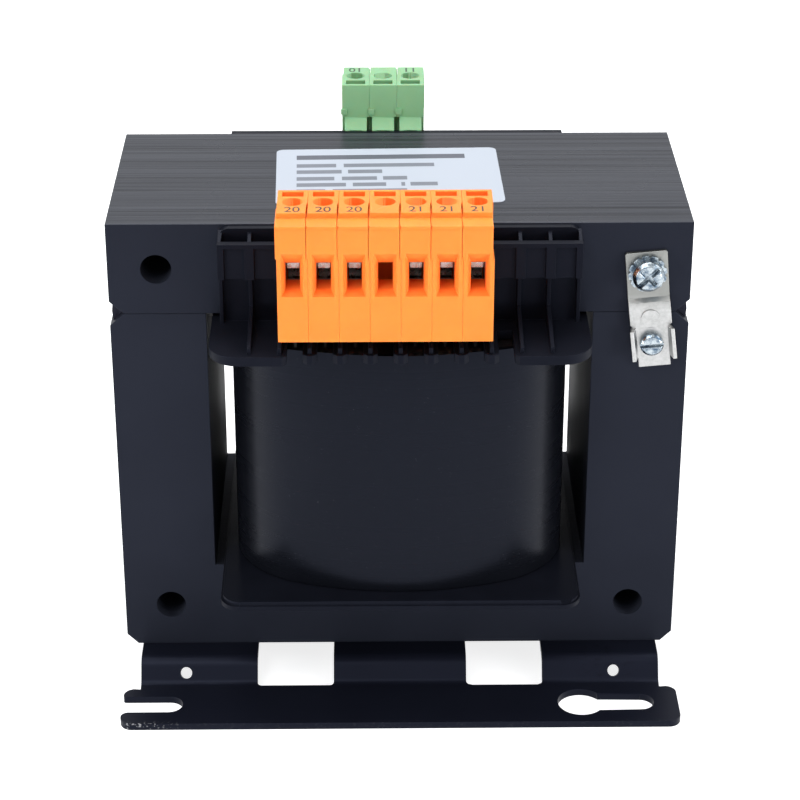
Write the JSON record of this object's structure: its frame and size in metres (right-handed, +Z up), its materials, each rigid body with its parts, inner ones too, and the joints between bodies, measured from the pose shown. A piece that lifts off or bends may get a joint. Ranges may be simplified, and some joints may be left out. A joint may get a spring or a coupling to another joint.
{
  "type": "chassis transformer",
  "caption": "Open laminated-core mains transformer with clip-on screw terminals in two rows, earth tab and two pressed foot brackets",
  "frame": {"origin": "on the floor under the middle of the core", "axes": "+Z up, X along the terminal rows, -Y to the side with seven terminals"},
  "size_m": [0.15, 0.1262, 0.1449],
  "materials": {
    "core": "satin blue-black varnish over the sheet edges",
    "former": "black glass-filled moulding",
    "copper": "enamelled copper wire",
    "insulation": "paper and film",
    "wrap": "black film, satin",
    "terminal_orange": "moulded",
    "terminal_green": "moulded",
    "plated_steel": "zinc plated",
    "tinned_brass": "tinned",
    "lead_wire": "tinned copper wire",
    "bracket": "satin blue-black varnish",
    "label": "blank white film"
  },
  "bodies": {
    "root": {"core_e_laminations": "core", "core_i_laminations": "core", "joint_weld_beads": "core", "coil_former": "former", "primary_winding": "copper", "interwinding_insulation": "insulation", "secondary_winding": "copper", "outer_wrap": "wrap", "secondary_terminal_1": "terminal_orange", "secondary_terminal_2": "terminal_orange", "secondary_terminal_3": "terminal_orange", "secondary_terminal_4": "terminal_orange", "secondary_terminal_5": "terminal_orange", "secondary_terminal_6": "terminal_orange", "secondary_terminal_7": "terminal_orange", "primary_terminal_1": "terminal_green", "primary_terminal_2": "terminal_green", "primary_terminal_3": "terminal_green", "secondary_clamp_cage_1": "plated_steel", "secondary_contact_bar_1": "tinned_brass", "secondary_clamp_cage_2": "plated_steel", "secondary_contact_bar_2": "tinned_brass", "secondary_clamp_cage_3": "plated_steel", "secondary_contact_bar_3": "tinned_brass", "secondary_clamp_cage_5": "plated_steel", "secondary_contact_bar_5": "tinned_brass", "secondary_clamp_cage_6": "plated_steel", "secondary_contact_bar_6": "tinned_brass", "secondary_clamp_cage_7": "plated_steel", "secondary_contact_bar_7": "tinned_brass", "secondary_clamp_screws": "plated_steel", "secondary_lead_wires": "lead_wire", "primary_clamp_cage_1": "plated_steel", "primary_contact_bar_1": "tinned_brass", "primary_clamp_cage_3": "plated_steel", "primary_contact_bar_3": "tinned_brass", "primary_clamp_screws": "plated_steel", "primary_lead_wires": "lead_wire", "front_foot_bracket": "bracket", "rear_foot_bracket": "bracket", "bracket_weld_beads": "bracket", "rating_label": "label", "earth_tab": "plated_steel", "earth_screw": "plated_steel", "earth_clamp_screw": "plated_steel", "earth_lock_washer": "plated_steel", "earth_rear_washer": "plated_steel", "earth_nut": "plated_steel"}
  },
  "joints": []
}
